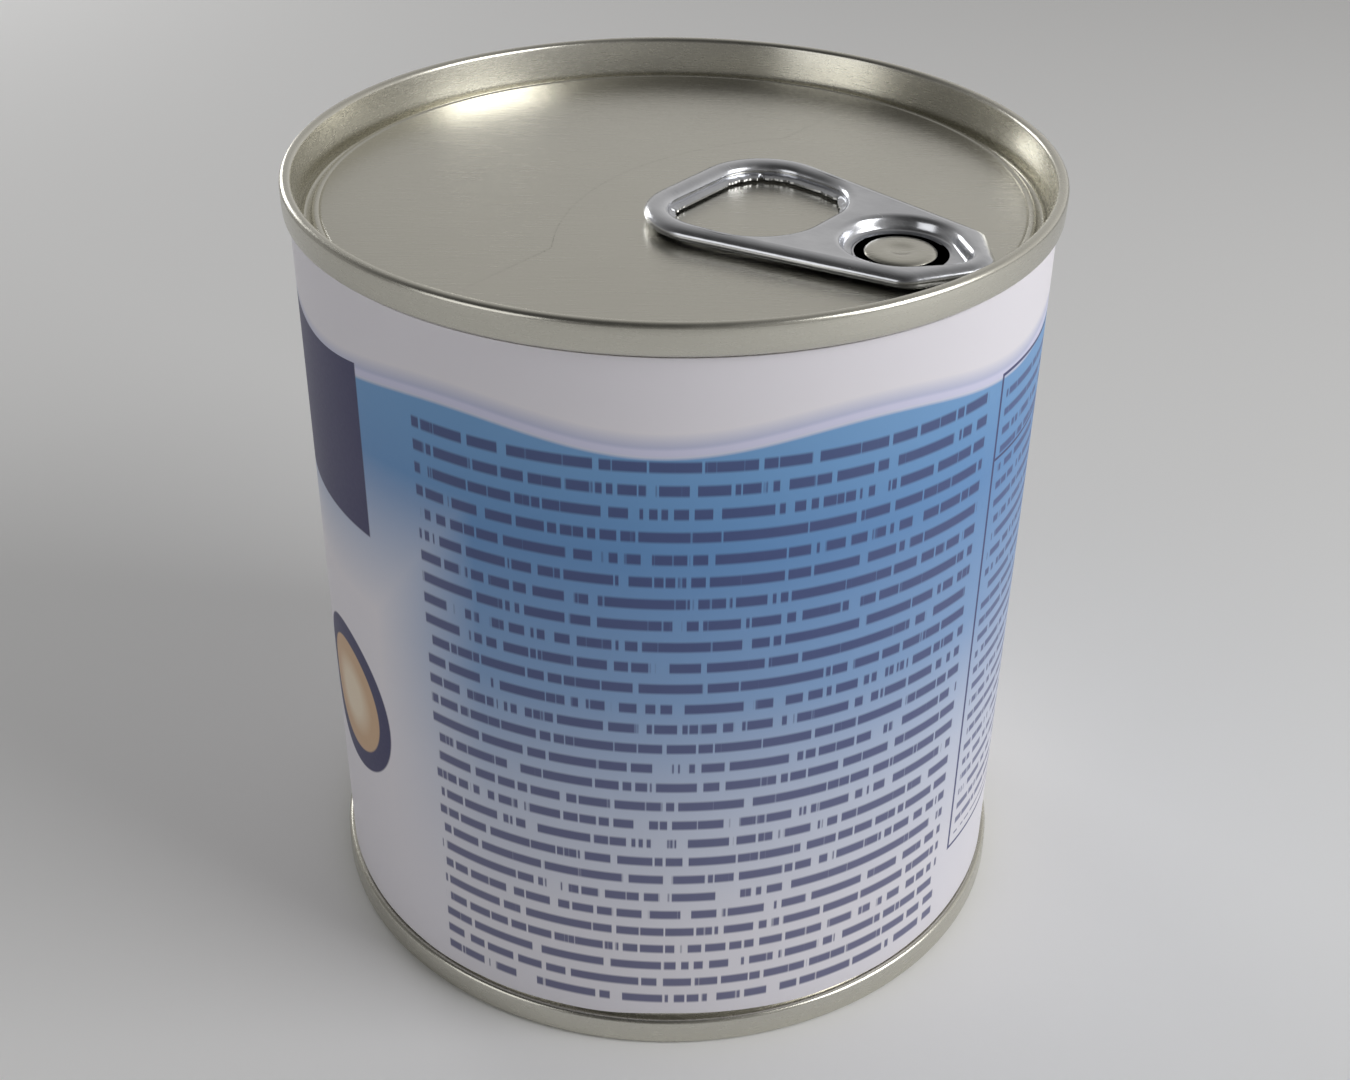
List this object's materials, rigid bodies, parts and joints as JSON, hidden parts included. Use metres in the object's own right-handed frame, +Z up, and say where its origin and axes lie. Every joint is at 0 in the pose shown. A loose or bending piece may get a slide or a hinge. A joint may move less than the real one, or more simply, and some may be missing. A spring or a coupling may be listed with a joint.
{
  "type": "condensed milk can",
  "caption": "Shut round tin of condensed milk, 73 mm body and 81 mm high, with a ring-pull lid, two double seams and a plain paper label.",
  "frame": {"origin": "centre of the rim that the can stands on", "axes": "+Z up along the can's axis; the front of the label panel faces -Y; the ring pull's nose points to +X and -Y"},
  "size_m": [0.0746, 0.0746, 0.081],
  "materials": {
    "tinplate": "satin",
    "tinplate_end": "satin",
    "tab_metal": "satin",
    "label_paper": "semi-gloss"
  },
  "bodies": {
    "root": {"can_body": "tinplate", "top_end": "tinplate_end", "pull_tab": "tab_metal", "label": "label_paper", "bottom_end": "tinplate_end"}
  },
  "joints": []
}
